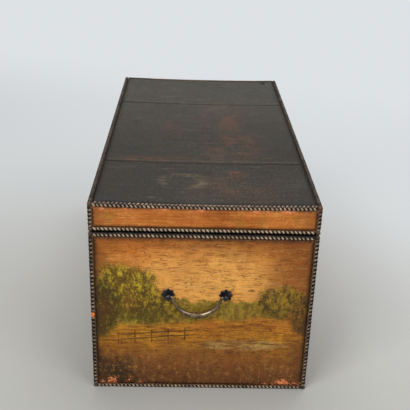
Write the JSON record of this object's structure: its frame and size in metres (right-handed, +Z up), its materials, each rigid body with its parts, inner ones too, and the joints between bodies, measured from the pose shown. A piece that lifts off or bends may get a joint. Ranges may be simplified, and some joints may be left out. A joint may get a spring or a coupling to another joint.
{
  "type": "leather trunk",
  "caption": "Leather covered travelling trunk with a shallow hinged lid, laced edges, painted sides, a swinging bail handle on each end and a box lock.",
  "frame": {"origin": "middle of the underside, on the floor", "axes": "+X along the trunk to its right end, -Y is the front with the lock, +Z up"},
  "size_m": [0.8456, 0.4137, 0.381],
  "materials": {
    "poplar_wood": "plain planed boards",
    "painted_leather": "painted and varnished, finely cracked",
    "sole_leather": "rough",
    "lid_leather": "worn varnish",
    "dark_leather": "aged, cracked and rubbed",
    "lacing": "worn double loop lacing",
    "lining_paper": "aged lining paper",
    "bronze": "darkened, rubbed bright on the edges",
    "iron": "blackened wrought iron",
    "brass": "dull aged brass"
  },
  "bodies": {
    "base": {"base_bottom_board": "poplar_wood", "base_front_board": "poplar_wood", "base_back_board": "poplar_wood", "base_end_board_right": "poplar_wood", "base_end_board_left": "poplar_wood", "dust_lip_front": "poplar_wood", "dust_lip_back": "poplar_wood", "dust_lip_right": "poplar_wood", "dust_lip_left": "poplar_wood", "base_front_leather": "painted_leather", "base_back_leather": "painted_leather", "base_end_leather_right": "painted_leather", "base_end_leather_left": "painted_leather", "base_bottom_leather": "sole_leather", "base_rim_leather": "dark_leather", "base_foot_lacing": "lacing", "base_rim_lacing": "lacing", "base_corner_lacing": "lacing", "base_lining": "lining_paper", "handle_rosettes_right": "bronze", "handle_rosettes_left": "bronze", "handle_posts_right": "bronze", "handle_posts_left": "bronze", "handle_washers": "iron", "handle_nuts": "iron", "hinge_base_leaf_right": "iron", "hinge_base_leaf_left": "iron", "hinge_pin_right": "iron", "hinge_pin_left": "iron", "hinge_base_screws": "iron", "lock_case": "iron", "lock_screws": "iron", "keyhole_escutcheon": "brass", "escutcheon_pins": "brass"},
    "lid": {"lid_top_board": "poplar_wood", "lid_front_rail": "poplar_wood", "lid_back_rail": "poplar_wood", "lid_end_rail_right": "poplar_wood", "lid_end_rail_left": "poplar_wood", "lid_top_leather_right": "dark_leather", "lid_top_leather_middle": "dark_leather", "lid_top_leather_left": "dark_leather", "lid_front_leather": "lid_leather", "lid_back_leather": "lid_leather", "lid_end_leather_right": "lid_leather", "lid_end_leather_left": "lid_leather", "lid_rim_leather": "dark_leather", "lid_top_lacing": "lacing", "lid_bottom_lacing": "lacing", "lid_corner_lacing": "lacing", "lid_lining": "lining_paper", "hinge_lid_leaf_right": "iron", "hinge_lid_leaf_left": "iron", "hinge_lid_screws": "iron", "lock_link_plate": "iron", "link_screws": "iron"},
    "bail_right": {"handle_bail_right": "bronze"},
    "bail_left": {"handle_bail_left": "bronze"},
    "lock_bolt": {"lock_bolt": "iron"}
  },
  "joints": [
    {"name": "lid_hinge", "type": "hinge", "parent": "base", "child": "lid", "pos_m": [0, 0.2039, 0.3258], "axis": [-1, 0, 0], "range_deg": [0, 100]},
    {"name": "bail_right_swing", "type": "hinge", "parent": "base", "child": "bail_right", "pos_m": [0.4174, -0.01, 0.204], "axis": [0, -1, 0], "range_deg": [-5, 185]},
    {"name": "bail_left_swing", "type": "hinge", "parent": "base", "child": "bail_left", "pos_m": [-0.4174, -0.01, 0.204], "axis": [0, 1, 0], "range_deg": [-5, 185]},
    {"name": "lock_bolt_slide", "type": "slide", "parent": "base", "child": "lock_bolt", "axis": [1, 0, 0], "range_m": [0, 0.007]}
  ]
}
